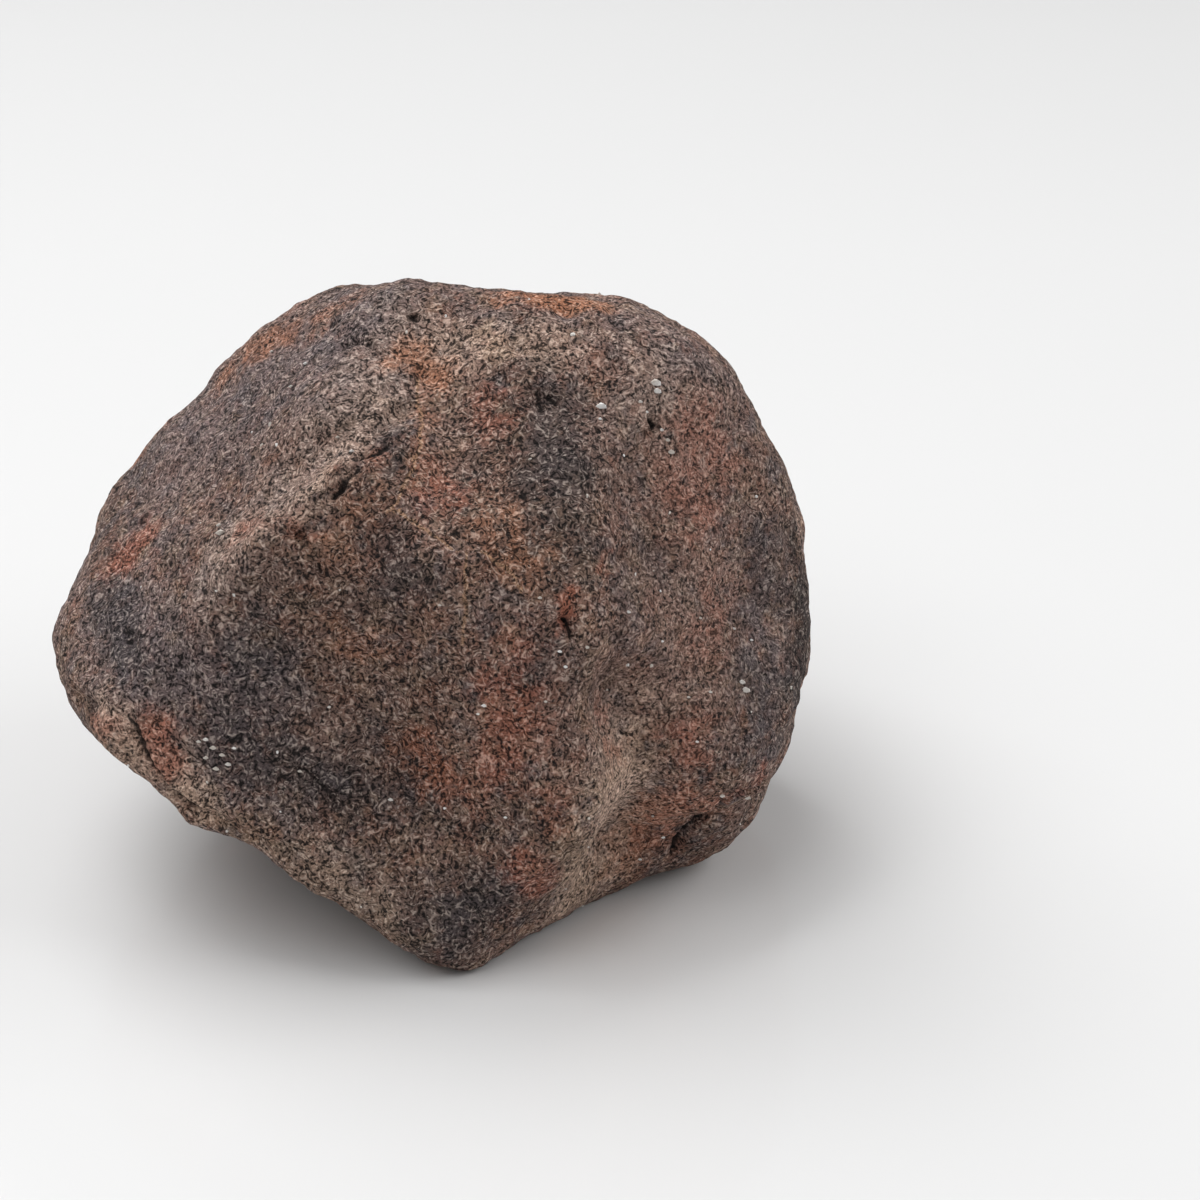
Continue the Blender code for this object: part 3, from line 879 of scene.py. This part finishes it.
def crust_material():
    material, nodes, shader = new_material("crust")
    place = nodes.place()
    speckle = nodes.noise(place, **SPECKLE)
    uneven = nodes.math("MULTIPLY", nodes.math("SUBTRACT", speckle, 0.5), RAGGEDNESS)
    colour = stained_and_lit_colour(nodes, place, speckle, uneven)

    froth = nodes.named("ShaderNodeGroup", {"Vector": place}, node_tree=froth_group())
    thread, gap, pit, grain = froth.outputs
    curly = nodes.step(nodes.stored("smooth"), *SMOOTH_EDGE, SMOOTH_FROTH, 1.0)
    thread = nodes.math("MULTIPLY", thread, curly)
    gap = nodes.math("MULTIPLY", gap, curly)
    colour = nodes.mix(nodes.math("MULTIPLY", thread, THREAD_TINT), colour, COLOURS["thread"])
    grain_tone = nodes.step(grain, *GRAIN_RANGE, *GRAIN_LIGHT)
    tone = nodes.math("ADD", nodes.math("MULTIPLY", thread, THREAD_LIGHT), grain_tone)
    gap_tone = nodes.math("SUBTRACT", 1.0, nodes.math("MULTIPLY", gap, GAP_SHADE))
    colour = nodes.mix(1.0, colour, nodes.math("MULTIPLY", tone, gap_tone), blend="MULTIPLY")
    # Pits, cracks and holes are darkened to near black: their dark deposit and painted shade inside them
    for opened in (pit, cracked(nodes, uneven)):
        colour = nodes.mix(nodes.math("MULTIPLY", opened, PORE_SHADE), colour, COLOURS["pore_dark_and_shade"])
    nodes.fill(shader.inputs["Base Color"], colour)

    height = nodes.math("MULTIPLY", nodes.math("SUBTRACT", thread, gap), THREAD_HEIGHT)
    height = nodes.math("ADD", height, nodes.math("MULTIPLY", grain, GRAIN_HEIGHT))
    height = nodes.math("SUBTRACT", height, nodes.math("MULTIPLY", pit, PORE_DEPTH))
    bump = nodes.named("ShaderNodeBump", {"Strength": 1.0, "Distance": MM, "Height": height})
    nodes.fill(shader.inputs["Normal"], bump.outputs["Normal"])
    set_values(shader, Roughness=CRUST_ROUGHNESS, Specular_IOR_Level=CRUST_SPECULAR)
    return material


# Pale grains: small white crystals that stand in the crust, and the faces of broken ones

# Single grains seen from the front: pixel of the photograph and size in mm
SEEN_GRAINS = [
    ((655, 383), 0.35), ((657, 391), 0.27), ((601, 407), 0.32), ((223, 535), 0.32), ((221, 528), 0.19),
    ((671, 452), 0.22), ((668, 440), 0.16), ((662, 430), 0.14), ((746, 690), 0.30), ((742, 682), 0.22),
    ((748, 800), 0.22), ((722, 796), 0.18), ((710, 692), 0.14), ((688, 697), 0.12), ((697, 742), 0.12),
    ((640, 402), 0.14), ((646, 412), 0.12), ((300, 770), 0.18), ((327, 708), 0.14), ((205, 740), 0.19),
    ((213, 748), 0.22), ((222, 755), 0.18), ((228, 764), 0.19), ((206, 758), 0.18), ((216, 768), 0.20),
    ((198, 742), 0.15), ((234, 748), 0.14), ((484, 705), 0.16), ((478, 714), 0.12), ((390, 800), 0.16),
    ((272, 352), 0.14), ((306, 364), 0.16), ((293, 388), 0.16), ((352, 452), 0.15), ((338, 438), 0.14),
    ((540, 598), 0.14), ((588, 648), 0.15), ((560, 652), 0.14), ((566, 668), 0.14), ((628, 612), 0.14),
    ((700, 618), 0.12), ((660, 640), 0.11), ((735, 628), 0.12), ((752, 640), 0.12), ((600, 420), 0.12),
    ((545, 700), 0.11), ((440, 605), 0.11), ((505, 818), 0.12), ((640, 860), 0.14), ((664, 842), 0.14),
]

STREWN_SIZE = 0.11               # mm
STREWN_SPREAD = (0.5, 1.2)       # smallest and largest, to that size
STREWN_COUNT = 0.055             # per square mm
GRAIN_SEED = 5
GRAIN_STRETCH = ((0.9, 0.8, 0.6), (1.7, 1.4, 1.1))   # least and most, along each axis of a crystal
CORNER_SHIFT = {"size": 0.6, "reach": 0.9}           # that makes a crystal of a ball one unit wide
GRAIN_TINTS = ((0.90, 0.88, 0.86, 1.0), (0.62, 0.56, 0.50, 1.0))
GRAIN_TINT_NOISE = {"size": 1.3, "detail": 1.0}
GRAIN_TINT_EDGE = (0.4, 0.6)
GRAIN_ROUGHNESS = 0.35

# Where a Random Value node keeps its lower limit, upper limit and value, for each type of data
RANDOM_SOCKETS = {"FLOAT_VECTOR": (0, 1, 0), "FLOAT": (2, 3, 1)}


def grain_points():
    """A point on the stone for each seen grain, with the grain's size in metres."""
    mesh = bpy.data.meshes.new("grain_points")
    mesh.from_pydata([seen(pixel) * MM for pixel, _ in SEEN_GRAINS], [], [])
    sizes = mesh.attributes.new("size", "FLOAT", "POINT")
    sizes.data.foreach_set("value", [size * MM for _, size in SEEN_GRAINS])
    return mesh


def grain_tree():
    """Angular crystals at given points and strewn over a skin, each half sunk in it."""
    inputs = [("Geometry", "Geometry", None), ("Skin", "Object", None), ("Material", "Material", None),
              ("Strewn Size", "Float", STREWN_SIZE * MM), ("Strewn Count", "Float", STREWN_COUNT),
              ("Seed", "Int", GRAIN_SEED), ("Lowest", "Vector", None)]
    nodes, given, result = new_group(
        "pale_grains", "GeometryNodeTree", inputs, [("Geometry", "Geometry")])

    def random(data_type, low, high):
        """A random value between two limits for each point."""
        node = nodes.named("FunctionNodeRandomValue", {"Seed": given["Seed"]}, data_type=data_type)
        first, last, value = RANDOM_SOCKETS[data_type]
        nodes.fill(node.inputs[first], low)
        nodes.fill(node.inputs[last], high)
        return node.outputs[value]

    skin = nodes.named("GeometryNodeObjectInfo", {"Object": given["Skin"]}).outputs["Geometry"]
    placed = nodes.named("GeometryNodeMeshToPoints", {"Mesh": given["Geometry"]})
    density = nodes.math("MULTIPLY", given["Strewn Count"], 1.0 / MM ** 2)
    spread = nodes.named("GeometryNodeDistributePointsOnFaces",
                         {"Mesh": skin, "Density": density, "Seed": given["Seed"]})
    strewn_size = nodes.math("MULTIPLY", random("FLOAT", *STREWN_SPREAD), given["Strewn Size"])
    strewn = store(nodes, spread.outputs["Points"], "size", strewn_size, "FLOAT")
    points = nodes.add("GeometryNodeJoinGeometry")
    for part in (placed.outputs[0], strewn):
        nodes.fill(points.inputs[0], part)

    # Each point is brought to the nearest place on the skin
    near = nodes.add("GeometryNodeProximity", skin, target_element="FACES")
    on_skin = nodes.named("GeometryNodeSetPosition",
                          {"Geometry": points.outputs[0], "Position": near.outputs["Position"]})

    ball = nodes.named("GeometryNodeMeshIcoSphere", {"Radius": 0.5, "Subdivisions": 1}).outputs["Mesh"]
    corner = nodes.add("GeometryNodeInputPosition").outputs[0]
    shifted = nodes.shaken(corner, detail=2.0, **CORNER_SHIFT)
    crystal = nodes.named("GeometryNodeSetPosition", {"Geometry": ball, "Position": shifted})
    turn = random("FLOAT_VECTOR", (0.0, 0.0, 0.0), (math.tau, math.tau, math.tau))
    size = nodes.named("GeometryNodeInputNamedAttribute", {"Name": "size"}, data_type="FLOAT")
    stretched = nodes.vector("SCALE", random("FLOAT_VECTOR", *GRAIN_STRETCH), size.outputs[0])
    crystals = nodes.named("GeometryNodeInstanceOnPoints",
                           {"Points": on_skin.outputs[0], "Instance": crystal.outputs[0],
                            "Rotation": turn, "Scale": stretched})
    real = nodes.add("GeometryNodeRealizeInstances", crystals.outputs[0])
    above = nodes.vector("MAXIMUM", corner, given["Lowest"])
    kept = nodes.named("GeometryNodeSetPosition", {"Geometry": real.outputs[0], "Position": above})
    finish_tree(nodes, kept.outputs[0], given, result)
    return nodes.tree


def grain_material():
    """White to honey-coloured crystal, each grain a little different."""
    material, nodes, shader = new_material("pale_grain")
    tint = nodes.step(nodes.noise(nodes.place(), **GRAIN_TINT_NOISE), *GRAIN_TINT_EDGE)
    nodes.fill(shader.inputs["Base Color"], nodes.mix(tint, *GRAIN_TINTS))
    set_values(shader, Roughness=GRAIN_ROUGHNESS)
    return material


def make_grains(skin):
    values = {"Skin": skin, "Material": grain_material(), "Lowest": list(CAD_LOW)}
    grains = run_tree("pale_grains", grain_points(), grain_tree(), values)
    grains.data.attributes.remove(grains.data.attributes["size"])
    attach(grains, "root")
    return grains


make_camera()
make_tent()
for light_name, light_values in LIGHTS.items():
    make_softbox(light_name, *light_values)
make_floor()
make_grains(make_skin(crust_material()))
bpy.context.scene.view_settings.view_transform = "Standard"
